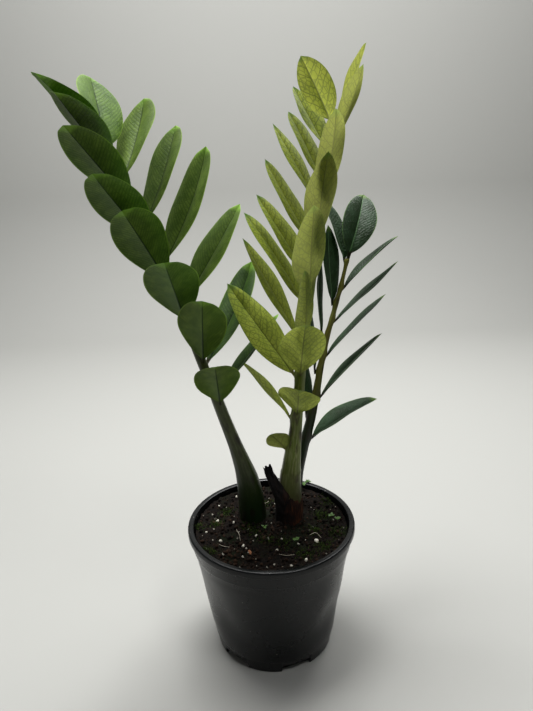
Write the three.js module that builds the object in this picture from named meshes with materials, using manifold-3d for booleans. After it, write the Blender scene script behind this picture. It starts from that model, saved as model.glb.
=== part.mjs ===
// Potted zz plant: three fronds of separate leaves, standing in peat in a plastic nursery pot.
// Millimetres, +Z up, origin at the centre of the pot's underside. The front of the plant is -Y.
import * as THREE from 'three';
import { mergeVertices } from 'three/addons/utils/BufferGeometryUtils.js';
import Module from 'manifold-3d';

const wasm = await Module();
wasm.setup();

// Driving dimensions
const rimRadius = 60;
const potHeight = 94;
const baseRadius = 43.4;
const wallThickness = 1.6;
const lipHeight = 4.6;
const bandHeight = 9.7;
const soilTop = 86;
const gap = 0.3;

// Drain slots round the foot
const slotCount = 6;
const slotFirstAngle = -71;
const slotWidth = 21;
const slotHeight = 5.6;

// Fineness of the meshes
const potSides = 64;
const stemSides = 12;
const stemSteps = 22;
const leafRings = 10;
const leafSides = 8;

const material = (color, roughness) => new THREE.MeshStandardMaterial({ color, roughness, metalness: 0 });
const potPlastic = material(0x24282b, 0.45);
const peat = material(0x1f1813, 1);
const darkStem = material(0x4a4f2c, 0.6);
const brightStem = material(0x5f6030, 0.6);
const darkLeaf = material(0x2d4a16, 0.35);
const brightLeaf = material(0x9aa82c, 0.45);
const rearLeaf = material(0x1b3a17, 0.3);
const driedSheath = material(0x1d110c, 0.9);

const degrees = THREE.MathUtils.degToRad;
const lerp = THREE.MathUtils.lerp;
const point = (x, y, z) => new THREE.Vector3(x, y, z);

const plant = new THREE.Group();

function addMesh(name, geometry, surface) {
  const mesh = new THREE.Mesh(geometry, surface);
  mesh.name = name;
  plant.add(mesh);
  return mesh;
}

// Moves every vertex of a geometry to the place that a function gives for it.
function reshape(geometry, place) {
  const position = geometry.attributes.position;
  for (let i = 0; i < position.count; i += 1) {
    const moved = place(position.getX(i), position.getY(i), position.getZ(i));
    position.setXYZ(i, moved.x, moved.y, moved.z);
  }
  geometry.computeVertexNormals();
  return geometry;
}

const weldDistance = 1e-4;

function toSolid(geometry) {
  const bare = geometry.clone();
  bare.deleteAttribute('normal');
  bare.deleteAttribute('uv');
  const merged = mergeVertices(bare, weldDistance);
  return new wasm.Manifold(new wasm.Mesh({
    numProp: 3,
    vertProperties: new Float32Array(merged.attributes.position.array),
    triVerts: new Uint32Array(merged.index.array),
  }));
}

function toGeometry(solid) {
  const mesh = solid.getMesh();
  const geometry = new THREE.BufferGeometry();
  geometry.setAttribute('position', new THREE.BufferAttribute(mesh.vertProperties, 3));
  geometry.setIndex(new THREE.BufferAttribute(mesh.triVerts, 1));
  geometry.computeVertexNormals();
  return geometry;
}

// A turned body: the profile is radius and height, from the axis back to the axis.
function turned(profile, sides) {
  const outline = profile.map(([radius, height]) => new THREE.Vector2(radius, height));
  return new THREE.LatheGeometry(outline, sides).rotateX(Math.PI / 2);
}

// Pot: stepped foot, tapered wall, a band under a rolled lip, and drain slots cut through the foot.
const footLineHeight = 9.4;
const footLineRadius = 45.1;
const footStep = 0.6;
const bandStep = 0.9;
const lipOverhang = 3;
const lipRound = 1.2;
const edgeRound = 0.4;
const bandTop = potHeight - lipHeight;
const bandBottom = bandTop - bandHeight;
const bandRadius = rimRadius - lipOverhang;
const floorTop = 1.8;
const floorRound = 1.2;
const innerFootRadius = baseRadius - wallThickness;
const innerRimRadius = bandRadius - lipRound;
const slotDepth = 8;

function potGeometry() {
  const lipMiddle = (rimRadius + innerRimRadius) / 2;
  const profile = [
    [0, 0],
    [baseRadius - edgeRound, 0],
    [baseRadius, edgeRound],
    [footLineRadius - footStep, footLineHeight - edgeRound],
    [footLineRadius, footLineHeight],
    [bandRadius - bandStep, bandBottom - edgeRound],
    [bandRadius, bandBottom],
    [bandRadius + edgeRound, bandTop],
    [rimRadius - edgeRound, bandTop],
    [rimRadius, bandTop + edgeRound],
    [rimRadius, potHeight - lipRound],
    [rimRadius - edgeRound, potHeight - edgeRound],
    [lipMiddle + edgeRound, potHeight],
    [lipMiddle - edgeRound, potHeight],
    [innerRimRadius + edgeRound, potHeight - edgeRound],
    [innerRimRadius, potHeight - lipRound],
    [innerRimRadius, bandTop],
    [innerFootRadius + floorRound, footLineHeight],
    [innerFootRadius, floorTop + floorRound],
    [innerFootRadius - floorRound, floorTop],
    [0, floorTop],
  ];
  let pot = toSolid(turned(profile, potSides));
  for (let i = 0; i < slotCount; i += 1) {
    const angle = degrees(slotFirstAngle + (i * 360) / slotCount);
    const cutter = new THREE.BoxGeometry(slotDepth, slotWidth, slotHeight * 2);
    cutter.translate(baseRadius, 0, 0);
    cutter.rotateZ(angle);
    pot = pot.subtract(toSolid(cutter));
  }
  return toGeometry(pot);
}

// Stems. Each runs along `points` from just under the peat, and goes on straight down for
// `stemDepth`. `radii` are rows of distance along the stem and radius there.
const stemFootHeight = 84;
const stemDepth = 8;
const stems = {
  left: {
    points: [
      point(-13, 13, stemFootHeight),
      point(-16, 9, 121),
      point(-27, 3, 164),
      point(-42, -4, 216),
      point(-59, -7, 270),
      point(-77, -8, 319),
      point(-89, -8, 347),
    ],
    radii: [[0, 10], [15, 9.6], [36, 7.8], [48, 6.4], [60, 5.2], [80, 4.3], [100, 4], [135, 2.9], [276, 1.3]],
  },
  middle: {
    points: [
      point(13, 10, stemFootHeight),
      point(15, 9, 120),
      point(20, 8, 163),
      point(26, 7, 222),
      point(36, 8, 290),
      point(44, 10, 339),
      point(47, 11, 360),
    ],
    radii: [[0, 9.6], [15, 9], [34, 7.3], [50, 6.2], [64, 4.9], [80, 4.1], [105, 3.7], [220, 2.3],
      [278, 1.3]],
  },
  rear: {
    points: [
      point(18, 33, stemFootHeight),
      point(22, 32, 115),
      point(34, 32, 164),
      point(44, 36, 213),
      point(55, 38, 253),
      point(60, 40, 272),
    ],
    radii: [[0, 6], [30, 4.6], [60, 3.8], [85, 3.1], [120, 2.2], [193, 1.2]],
  },
};

function stemRadius(stem, along) {
  const rows = stem.radii;
  for (let i = 1; i < rows.length; i += 1) {
    if (along <= rows[i][0]) {
      const fraction = Math.max(0, (along - rows[i - 1][0]) / (rows[i][0] - rows[i - 1][0]));
      return lerp(rows[i - 1][1], rows[i][1], fraction);
    }
  }
  return rows[rows.length - 1][1];
}

for (const stem of Object.values(stems)) {
  stem.curve = new THREE.CatmullRomCurve3(stem.points);
  stem.length = stem.curve.getLength();
}

// A round stem bent along its curve, grown by `extra` all round and buried below its first point.
function stemGeometry(stem, extra) {
  const frames = stem.curve.computeFrenetFrames(stemSteps, false);
  const cylinder = new THREE.CylinderGeometry(1, 1, 1, stemSides, stemSteps + 1);
  const rows = stemSteps + 1;
  return reshape(cylinder, (x, y, z) => {
    const row = Math.round((y + 0.5) * rows);
    const step = Math.max(0, row - 1);
    const centre = stem.curve.getPointAt(step / stemSteps);
    const radius = stemRadius(stem, (step / stemSteps) * stem.length) + extra;
    const sideways = frames.binormals[step].clone().multiplyScalar(x * radius);
    const across = frames.normals[step].clone().multiplyScalar(z * radius);
    if (row === 0) {
      centre.addScaledVector(frames.tangents[0], -stemDepth - extra);
    }
    return centre.add(sideways).add(across);
  });
}

// Leaves. `at` is the distance up the stem, `heading` the compass turn about +Z from +X, `rise` the
// angle above level and `roll` the turn about the leaf's own length. `fold` lifts both halves from
// the midrib, in degrees, and `bow` arches the midrib, in millimetres.
const leaves = {
  left: {
    front: [
      { at: 99, length: 54, width: 30, heading: -88, rise: 50, roll: 6, fold: 12, bow: 1 },
      { at: 133, length: 61, width: 31, heading: -80, rise: 54, roll: -10, fold: 14, bow: 1 },
      { at: 164, length: 67, width: 33, heading: -91, rise: 40, roll: 10, fold: 18, bow: 2 },
      { at: 190, length: 71, width: 30, heading: -102, rise: 40, roll: 32, fold: 18, bow: 4 },
      { at: 217, length: 68, width: 28, heading: -105, rise: 34, roll: 18, fold: 14, bow: 0 },
      { at: 242, length: 70, width: 26, heading: -106, rise: 33, roll: 16, fold: 16, bow: 0 },
      { at: 267, length: 69, width: 24, heading: -96, rise: 24, roll: -12, fold: 24, bow: 0 },
      { at: 275, length: 74, width: 24, heading: -98, rise: 21, roll: -17, fold: 16, bow: 3 },
    ],
    back: [
      { at: 110, length: 74, width: 23, heading: 37, rise: 40, roll: -18, fold: 12, bow: -1 },
      { at: 132, length: 85, width: 24, heading: 54, rise: 47.5, roll: 4, fold: 12, bow: -4 },
      { at: 174, length: 77, width: 34, heading: 25, rise: 55, roll: 8, fold: 8, bow: -1 },
      { at: 202, length: 81, width: 34, heading: 39, rise: 61, roll: 1, fold: 10, bow: -3 },
      { at: 228, length: 72, width: 33, heading: 60, rise: 58, roll: -17, fold: 8, bow: -2 },
      { at: 256, length: 62, width: 34, heading: 71, rise: 54, roll: -21, fold: 6, bow: -1 },
      { at: 273, length: 55, width: 33, heading: 114, rise: 57, roll: 34, fold: 12, bow: 2 },
    ],
  },
  middle: {
    back: [
      { at: 55, length: 29, width: 17, heading: -146, rise: 51, roll: 50, fold: 8, bow: 1 },
      { at: 80, length: 60, width: 19, heading: 162, rise: 49, roll: 8, fold: 8, bow: 1 },
      { at: 112, length: 83, width: 31, heading: 169, rise: 55, roll: -28, fold: 4, bow: 0 },
      { at: 137, length: 82, width: 29, heading: 174, rise: 62, roll: -12, fold: 6, bow: 1 },
      { at: 162, length: 75, width: 30, heading: 179, rise: 59, roll: -18, fold: 2, bow: 2 },
      { at: 180, length: 66, width: 27, heading: 172, rise: 59, roll: -19, fold: 8, bow: 1 },
      { at: 201, length: 65, width: 25, heading: 168, rise: 61, roll: -16, fold: 6, bow: 0 },
      { at: 225, length: 63, width: 22, heading: 156, rise: 60, roll: -5, fold: 4, bow: 1 },
      { at: 240, length: 53, width: 23, heading: 147, rise: 62, roll: -3, fold: 6, bow: 1 },
      { at: 260, length: 49, width: 22, heading: 143, rise: 58, roll: -5, fold: 10, bow: 0 },
      { at: 276, length: 43, width: 24, heading: -167, rise: 62, roll: -78, fold: 6, bow: 1 },
    ],
    front: [
      { at: 85, length: 44, width: 30, heading: -90, rise: 45, roll: -15, fold: 18, bow: 1 },
      { at: 112, length: 59, width: 31, heading: -87, rise: 54, roll: -1, fold: 12, bow: 2 },
      { at: 131, length: 70, width: 22, heading: -89, rise: 61, roll: 54, fold: 4, bow: -1 },
      { at: 169, length: 70, width: 27, heading: -89, rise: 59, roll: 34, fold: 8, bow: 1 },
      { at: 201, length: 64, width: 27, heading: -81, rise: 64, roll: 31, fold: 4, bow: 1 },
      { at: 233, length: 58, width: 24, heading: -84, rise: 54, roll: 34, fold: 4, bow: -1 },
      { at: 262, length: 50, width: 18, heading: -50, rise: 59, roll: 10, fold: 12, bow: -1 },
      { at: 278, length: 47, width: 20, heading: 0, rise: 66, roll: -20, fold: 4, bow: 0 },
    ],
  },
  rear: {
    back: [
      { at: 66, length: 62, width: 18, heading: 120, rise: 80, roll: 20, fold: 10, bow: 1 },
      { at: 100, length: 60, width: 16, heading: 110, rise: 78, roll: 50, fold: 8, bow: 0 },
      { at: 132, length: 61, width: 15, heading: 94, rise: 76, roll: 63, fold: 8, bow: -3 },
      { at: 156, length: 62, width: 20, heading: 133, rise: 85, roll: 6, fold: 10, bow: 0 },
      { at: 191, length: 51, width: 20, heading: 124, rise: 61, roll: 18, fold: 18, bow: 2 },
    ],
    front: [
      { at: 55, length: 64, width: 28, heading: 0, rise: 31, roll: -1, fold: 20, bow: 2 },
      { at: 88, length: 71, width: 20, heading: 2, rise: 45, roll: -7, fold: 16, bow: 1 },
      { at: 121, length: 67, width: 18, heading: 13, rise: 41, roll: -11, fold: 12, bow: 1 },
      { at: 148, length: 66, width: 18, heading: 9, rise: 39, roll: -6, fold: 10, bow: 0 },
      { at: 172, length: 58, width: 19, heading: 14, rise: 40, roll: -9, fold: 14, bow: 1 },
      { at: 193, length: 56, width: 25, heading: 59, rise: 55, roll: 35, fold: 16, bow: 6 },
    ],
  },
};

const stalkLength = 2.5;
const stalkRadius = 0.8;
const bladeThickness = 0.9;
const baseTaper = 0.62;
const tipTaper = 0.72;
const poleSize = 1e-6;

// Half-width of a blade, as a part of its greatest half-width, at a fraction of the blade's length.
function bladeOutline(fraction) {
  const along = THREE.MathUtils.clamp(fraction, 0, 1);
  const widest = baseTaper / (baseTaper + tipTaper);
  const greatest = widest ** baseTaper * (1 - widest) ** tipTaper;
  return (along ** baseTaper * (1 - along) ** tipTaper) / greatest;
}

// A leaf along +X, its upper side +Z, measured from the stem's axis. It starts `clear` along +X.
// The sphere's poles become the foot of the stalk and the leaf's tip.
function leafGeometry(leaf, clear) {
  const foldAngle = degrees(leaf.fold);
  const start = clear / leaf.length;
  const bladeStart = start + stalkLength / leaf.length;
  return reshape(new THREE.SphereGeometry(1, leafSides, leafRings), (x, y, z) => {
    const ring = Math.sqrt(Math.max(0, 1 - y * y));
    const across = ring > poleSize ? x / ring : 0;
    const through = ring > poleSize ? z / ring : 0;
    const fraction = lerp(start, 1, (1 - y) / 2);
    const blade = (leaf.width / 2) * bladeOutline((fraction - bladeStart) / (1 - bladeStart));
    const half = ring > poleSize ? Math.max(stalkRadius * (1 - fraction), blade) : 0;
    const thick = ring > poleSize ? bladeThickness / 2 : 0;
    const arch = leaf.bow * 4 * fraction * (1 - fraction);
    return point(
      fraction * leaf.length,
      across * half * Math.cos(foldAngle),
      Math.abs(across) * half * Math.sin(foldAngle) + arch + through * thick,
    );
  });
}

function addLeaf(name, stem, leaf, surface) {
  const fraction = Math.min(1, leaf.at / stem.length);
  const turn = new THREE.Euler(degrees(leaf.roll), degrees(-leaf.rise), degrees(leaf.heading), 'ZYX');
  const direction = point(1, 0, 0).applyEuler(turn);
  const lean = direction.angleTo(stem.curve.getTangentAt(fraction));
  const radius = stemRadius(stem, leaf.at);
  const clear = (radius + gap) / Math.sin(lean) + stalkRadius / Math.tan(lean);
  const mesh = addMesh(name, leafGeometry(leaf, clear), surface);
  mesh.rotation.copy(turn);
  mesh.position.copy(stem.curve.getPointAt(fraction));
}

// A dried sheath wrapped round the foot of the middle stem. It is torn off at a slant, and its long
// left end stands out from the stem.
const sheathThickness = 1.1;
const sheathSteps = 12;
const sheathFirstAngle = -25;
const sheathLastAngle = -185;
const sheathLowTop = 98;
const sheathSlant = 19;
const sheathTail = 19;
const sheathTailSharpness = 7;
const sheathFreeHeight = 112;
const sheathLeanLeft = 9;
const sheathLeanForward = 2;
const sheathCurl = 1.3;

function sheathGeometry(stem) {
  const block = new THREE.BoxGeometry(2, 1, 1, sheathSteps * 2, sheathSteps, 1);
  return reshape(block, (x, y, z) => {
    const side = (x + 1) / 2;
    const up = y + 0.5;
    const angle = degrees(lerp(sheathFirstAngle, sheathLastAngle, side));
    const top = sheathLowTop + sheathSlant * side + sheathTail * side ** sheathTailSharpness;
    const height = lerp(soilTop + gap, top, up);
    const freeLength = sheathLowTop + sheathSlant + sheathTail - sheathFreeHeight;
    const lean = Math.max(0, height - sheathFreeHeight) / freeLength;
    const along = height - stemFootHeight;
    const centre = stem.curve.getPointAt(along / stem.length);
    const radius = stemRadius(stem, along) + gap * 2 + sheathThickness * (0.5 - z);
    return point(
      centre.x + radius * Math.cos(angle) - sheathLeanLeft * lean ** sheathCurl,
      centre.y + radius * Math.sin(angle) - sheathLeanForward * lean,
      height,
    );
  });
}

// Peat: a plug that fills the pot to below its rim, with a socket for each stem.
const soilEdge = 1.5;

function soilGeometry() {
  const side = (height) => lerp(innerFootRadius, innerRimRadius, height / bandTop) - gap * 2;
  const profile = [
    [0, floorTop + gap],
    [side(floorTop) - soilEdge, floorTop + gap],
    [side(footLineHeight), footLineHeight],
    [side(soilTop), soilTop - soilEdge],
    [side(soilTop) - soilEdge, soilTop],
    [0, soilTop],
  ];
  let soil = toSolid(turned(profile, potSides));
  for (const stem of Object.values(stems)) {
    soil = soil.subtract(toSolid(stemGeometry(stem, gap)));
  }
  return toGeometry(soil);
}

addMesh('pot', potGeometry(), potPlastic);
addMesh('soil', soilGeometry(), peat);
addMesh('stem_left', stemGeometry(stems.left, 0), darkStem);
addMesh('stem_middle', stemGeometry(stems.middle, 0), brightStem);
addMesh('stem_rear', stemGeometry(stems.rear, 0), darkStem);
addMesh('dried_sheath', sheathGeometry(stems.middle), driedSheath);

const leafSurfaces = { left: darkLeaf, middle: brightLeaf, rear: rearLeaf };
for (const [frond, rows] of Object.entries(leaves)) {
  for (const [row, list] of Object.entries(rows)) {
    list.forEach((leaf, index) => {
      addLeaf(`leaf_${frond}_${row}_${index + 1}`, stems[frond], leaf, leafSurfaces[frond]);
    });
  }
}

export default plant;
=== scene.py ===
import random
from functools import partial
from math import atan2, copysign, cos, exp, hypot, pi, radians, sin, sqrt, tau

import bmesh
import bpy
from mathutils import Euler, Matrix, Vector, noise


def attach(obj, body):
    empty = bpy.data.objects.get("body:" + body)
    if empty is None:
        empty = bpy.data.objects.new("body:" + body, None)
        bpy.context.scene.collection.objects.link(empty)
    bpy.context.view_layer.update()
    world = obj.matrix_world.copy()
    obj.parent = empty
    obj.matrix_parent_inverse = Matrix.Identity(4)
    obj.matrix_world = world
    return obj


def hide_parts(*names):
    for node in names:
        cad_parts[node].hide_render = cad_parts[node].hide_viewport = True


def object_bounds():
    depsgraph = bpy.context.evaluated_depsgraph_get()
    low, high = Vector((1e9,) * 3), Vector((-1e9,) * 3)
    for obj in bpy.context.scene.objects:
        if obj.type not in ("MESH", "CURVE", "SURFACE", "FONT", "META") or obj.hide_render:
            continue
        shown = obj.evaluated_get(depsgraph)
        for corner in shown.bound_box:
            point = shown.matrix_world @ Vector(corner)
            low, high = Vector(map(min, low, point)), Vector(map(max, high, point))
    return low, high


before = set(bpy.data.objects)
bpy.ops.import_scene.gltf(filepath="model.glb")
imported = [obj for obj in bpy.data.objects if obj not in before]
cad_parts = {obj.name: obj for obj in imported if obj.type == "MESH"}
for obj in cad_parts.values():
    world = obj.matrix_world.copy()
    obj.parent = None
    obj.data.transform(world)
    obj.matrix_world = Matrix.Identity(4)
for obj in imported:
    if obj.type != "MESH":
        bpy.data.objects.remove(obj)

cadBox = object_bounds()
scene = bpy.context.scene
mm = 0.001

# settings that many nodes share
colourMix, numberMix = {"data_type": "RGBA"}, {"data_type": "FLOAT"}
soft = {"interpolation_type": "SMOOTHSTEP"}
multiply, multiplyAdd, divide, plus, minus, maximum, absolute = (
    {"operation": word} for word in
    ("MULTIPLY", "MULTIPLY_ADD", "DIVIDE", "ADD", "SUBTRACT", "MAXIMUM", "ABSOLUTE"))


def linear(hexColour):
    # an sRGB hex colour as the linear RGBA that shaders use
    parts = [int(hexColour[i:i + 2], 16) / 255 for i in (1, 3, 5)]
    return tuple(p / 12.92 if p <= 0.04045 else ((p + 0.055) / 1.055) ** 2.4 for p in parts) + (1.0,)


def smoothStep(low, high, value):
    t = min(1.0, max(0.0, (value - low) / (high - low)))
    return t * t * (3 - 2 * t)


def blend(a, b, t):
    return a + (b - a) * t


def curveAt(values, place):
    # a smooth curve through evenly numbered points or numbers
    index = min(len(values) - 2, max(0, int(place)))
    t = place - index
    b, c = values[index], values[index + 1]
    a = values[index - 1] if index else b * 2 - c
    d = values[index + 2] if index + 2 < len(values) else c * 2 - b
    rise, bend, twist = c - a, a * 2 - b * 5 + c * 4 - d, b * 3 - a - c * 3 + d
    return (b * 2 + rise * t + bend * t * t + twist * t ** 3) * 0.5


def addNode(tree, kind, settings=None, inputs=None):
    # a node with its settings; an input is a number, a colour, a socket, or a node for its first output
    node = tree.nodes.new("ShaderNode" + kind)
    for key, value in (settings or {}).items():
        setattr(node, key, value)
    for key, value in (inputs or {}).items():
        if isinstance(key, int):
            socket = node.inputs[key]
        else:
            socket = next(s for s in node.inputs if s.enabled and s.name == key)
        if isinstance(value, bpy.types.Node):
            value = next(s for s in value.outputs if s.enabled)
        if isinstance(value, bpy.types.NodeSocket):
            tree.links.new(value, socket)
        elif isinstance(value, str):
            socket.default_value = linear(value)
        else:
            socket.default_value = value
    return node


def ruffle(*place):
    # smooth noise at a point, from about -1 to 1
    return noise.noise(Vector(place))


def newMaterial(name):
    # an empty material, and addNode for its own nodes
    material = bpy.data.materials.new(name)
    material.use_nodes = True
    material.node_tree.nodes.clear()
    return material, partial(addNode, material.node_tree)


def newObject(name, bm):
    mesh = bpy.data.meshes.new(name)
    bm.to_mesh(mesh)
    bm.free()
    for polygon in mesh.polygons:
        polygon.use_smooth = True
    made = bpy.data.objects.new(name, mesh)
    scene.collection.objects.link(made)
    return made


def secondSkin(bm, faces):
    # doubles a sheet's faces, so that it can be given a thickness; the new side's vertices
    made = bmesh.ops.extrude_face_region(bm, geom=faces)["geom"]
    return {g for g in made if isinstance(g, bmesh.types.BMVert)}


def cadCopy(node):
    # a welded copy of a CAD node's mesh
    bm = bmesh.new()
    bm.from_mesh(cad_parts[node].data)
    bmesh.ops.remove_doubles(bm, verts=bm.verts, dist=0.001 * mm)
    return bm


def ringsFrom(pole):
    # rings of points of a closed mesh, from one pole to the other
    rings, seen = [[pole]], {pole}
    while rings[-1]:
        ring = []
        for vert in rings[-1]:
            for edge in vert.link_edges:
                other = edge.other_vert(vert)
                if other not in seen:
                    seen.add(other)
                    ring.append(other)
        rings.append(ring)
    return rings[:-1]


def centreOf(verts):
    return sum((v.co for v in verts), Vector()) / len(verts)


def addTube(bm, path, sides, radiusAt, layer=None):
    # a round rod along a path as one more island of bm; where the radius is 0 its end closes
    last = len(path) - 1
    verts = bmesh.ops.create_grid(bm, x_segments=sides, y_segments=last, size=1)["verts"]
    alongX = abs((path[1] - path[0]).normalized().x) > 0.8
    normal = Vector((0, 1, 0.01)) if alongX else Vector((1, 0, 0.01))
    rows, along = [], 0.0
    for row, centre in enumerate(path):
        ahead = (path[min(last, row + 1)] - path[max(0, row - 1)]).normalized()
        normal = (normal - ahead * normal.dot(ahead)).normalized()
        along += (centre - path[row - 1]).length if row else 0.0
        rows.append((centre, normal, ahead.cross(normal), along))
    for vert in verts:
        centre, side, other, along = rows[round((vert.co.y + 1) / 2 * last)]
        turn = pi * (vert.co.x + 1)
        outward = side * cos(turn) + other * sin(turn)
        radius = radiusAt(along / rows[-1][3], turn, centre, outward)
        vert.co = centre + outward * radius
        if layer:
            vert[layer] = (cos(turn) * radius, sin(turn) * radius, along)
    bmesh.ops.remove_doubles(bm, verts=verts, dist=0.003 * mm)
    return [v for v in verts if v.is_valid]


def turned(profile, steps):
    # a closed turned body from rows of radius and height, from the axis back to the axis
    bm = bmesh.new()
    verts = [bm.verts.new((radius, 0, height)) for radius, height in profile]
    edges = [bm.edges.new(pair) for pair in zip(verts, verts[1:])]
    bmesh.ops.spin(bm, geom=verts + edges, cent=(0, 0, 0), axis=(0, 0, 1), dvec=(0, 0, 0),
                   angle=tau, steps=steps, use_merge=True)
    bmesh.ops.remove_doubles(bm, verts=bm.verts, dist=0.005 * mm)
    return bm


def addPiece(name, bm, material, node=None, sharp=0.9):
    # edges that turn more than `sharp` radians stay crisp
    bmesh.ops.recalc_face_normals(bm, faces=bm.faces)
    for edge in bm.edges:
        edge.smooth = edge.calc_face_angle(0) < sharp
    piece = newObject(name, bm)
    piece.data.materials.append(material)
    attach(piece, "root")
    if node:
        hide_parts(node)
    return piece


studio = {
    "cameraPlace": (0.0, -0.3396, 0.315), "cameraYaw": 0.16, "cameraDown": 16.07, "cameraRoll": -2.08,
    "lens": 27.04,
    "skyColour": "#eef0ee", "skyStrength": 0.13,
    "floorColour": "#9d9d99", "floorSize": 2.6, "wallAway": 1.25, "wallHeight": 2.2, "sweep": 0.35,
    "lamps": {
        # place, aim, size and power
        "frontLight": ((0.32, -0.38, 1.0), (0.03, 0.02, 0.25), (0.2, 0.2), 2.2),
        "backLight": ((0.42, 0.5, 0.85), (0.03, 0, 0.3), (0.3, 0.3), 2.4),
        "topLight": ((-0.12, 0.16, 1.15), (0, 0.02, 0.1), (0.6, 0.4), 16),
        "wallLight": ((0.0, 0.6, 1.5), (0, 1.1, 0.5), (1.6, 0.4), 23),
    },
}


def makeStudio(look):
    yaw, down, roll = (radians(look[k]) for k in ("cameraYaw", "cameraDown", "cameraRoll"))
    forward = Vector((sin(yaw) * cos(down), cos(yaw) * cos(down), -sin(down)))
    level = Vector((cos(yaw), -sin(yaw), 0))
    upright = level.cross(forward)
    right = level * cos(roll) + upright * sin(roll)
    up = upright * cos(roll) - level * sin(roll)
    data = bpy.data.cameras.new("camera")
    data.lens = look["lens"]
    data.sensor_width = 36
    data.clip_start = 0.01
    camera = bpy.data.objects.new("camera", data)
    turn = Matrix((right, up, -forward)).transposed().to_4x4()
    camera.matrix_world = Matrix.Translation(look["cameraPlace"]) @ turn
    scene.collection.objects.link(camera)
    scene.camera = camera

    world = bpy.data.worlds.new("studio")
    world.use_nodes = True
    sky = world.node_tree.nodes["Background"].inputs
    sky["Color"].default_value = linear(look["skyColour"])
    sky["Strength"].default_value = look["skyStrength"]
    scene.world = world
    scene.view_settings.view_transform = "Standard"

    for name, (place, aim, size, power) in look["lamps"].items():
        light = bpy.data.lights.new(name, "AREA")
        light.shape = "RECTANGLE"
        light.size, light.size_y = size
        light.energy = power
        holder = bpy.data.objects.new(name, light)
        holder.location = place
        ahead = Vector(aim) - Vector(place)
        holder.rotation_euler = ahead.to_track_quat("-Z", "Y").to_euler()
        scene.collection.objects.link(holder)

    # floor and wall in one sweep
    bm = bmesh.new()
    turn = look["wallAway"] - look["sweep"]
    points = [(-look["floorSize"], 0), (turn, 0)]
    for i in range(1, 13):
        angle = radians(7.5 * i)
        points.append((turn + look["sweep"] * sin(angle),
                       look["sweep"] * (1 - cos(angle))))
    points.append((look["wallAway"], look["wallHeight"]))
    verts = [bm.verts.new((-look["floorSize"], y, z)) for y, z in points]
    edges = [bm.edges.new(pair) for pair in zip(verts, verts[1:])]
    swept = bmesh.ops.extrude_edge_only(bm, edges=edges)["geom"]
    moved = [g for g in swept if isinstance(g, bmesh.types.BMVert)]
    bmesh.ops.translate(bm, verts=moved, vec=(2 * look["floorSize"], 0, 0))
    backdrop = newObject("backdrop", bm)
    paint, add = newMaterial("matt backdrop paint")
    body = add("BsdfPrincipled", None, {"Base Color": look["floorColour"], "Roughness": 0.85})
    add("OutputMaterial", None, {"Surface": body})
    backdrop.data.materials.append(paint)


makeStudio(studio)
print("studio ready")


stemLook = {
    "sides": 40, "stepsPerRing": 6,
    "rib": 0.018, "ribCount": 9,      # lengthwise ribs, as a part of the radius
    "lump": 0.05, "lumpSize": 18 * mm,
    "knuckle": 0.9 * mm, "knuckleSize": 3.4 * mm,      # swelling where a leaf's stalk joins
    "scarHeight": {"middle": 0.052},       # where an old sheath ended, in metres along the stem
    "scarStep": 0.3 * mm, "scarTilt": 1.4 * mm,
    "tip": 2.5 * mm,
}
stemNodes = {"left": "stem_left", "middle": "stem_middle", "rear": "stem_rear"}


def readStem(node):
    # centre and radius of each ring of the CAD stem, from its buried foot to its tip
    bm = cadCopy(node)
    foot = min((v for v in bm.verts if len(v.link_edges) == 12), key=lambda v: v.co.z)
    rings = ringsFrom(foot)[1:-1]
    path = [centreOf(ring) for ring in rings]
    radii = [sum((v.co - centre).length for v in ring) / len(ring)
             for ring, centre in zip(rings, path)]
    bm.free()
    return path, radii


def makeStem(frond, look, material):
    path, radii = stems[frond]
    last = len(path) - 1
    steps = last * look["stepsPerRing"]
    fine = [curveAt(path, row / look["stepsPerRing"]) for row in range(steps + 1)]
    ahead = (fine[-1] - fine[-2]).normalized()
    fine += [fine[-1] + ahead * look["tip"] * part for part in (0.5, 0.85, 1.0)]
    fine.insert(0, fine[0].copy() - Vector((0, 0, 0.01 * mm)))
    feet = [leaf["foot"] for leaf in leaves.values() if leaf["frond"] == frond]
    scar = look["scarHeight"].get(frond)
    total = sum((b - a).length for a, b in zip(fine, fine[1:]))
    body = total - look["tip"]

    def radiusAt(part, turn, centre, outward):
        along = part * total
        place = min(last, along / body * last)
        if part < 1e-9 or part > 1 - 1e-6:
            return 0.0
        radius = curveAt(radii, place)
        swell = ruffle(cos(turn), sin(turn), along / look["lumpSize"])
        swell *= look["lump"] * (0.4 + smoothStep(9 * mm, 2 * mm, radius))
        wander = ruffle(0, 0, along / (45 * mm)) * 3
        rib = sin(turn * look["ribCount"] + wander) * look["rib"] * smoothStep(0.02, 0.06, along)
        radius *= 1 + swell + rib
        if scar:
            past = along - scar - look["scarTilt"] * sin(turn + 1)
            radius += look["scarStep"] * (exp(-(past / mm) ** 2) + smoothStep(mm, -mm, past))
        radius *= sqrt(max(0.0, 1 - (max(0.0, along - body) / look["tip"]) ** 2))
        spot = centre + outward * radius
        near = sum(exp(-((spot - foot).length / look["knuckleSize"]) ** 2) for foot in feet)
        return radius + look["knuckle"] * min(1.2, near)

    bm = bmesh.new()
    straight = bm.verts.layers.float_vector.new("stemPlace")
    addTube(bm, fine, look["sides"], radiusAt, straight)
    addPiece(stemNodes[frond] + "_living", bm, material, stemNodes[frond])


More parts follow.
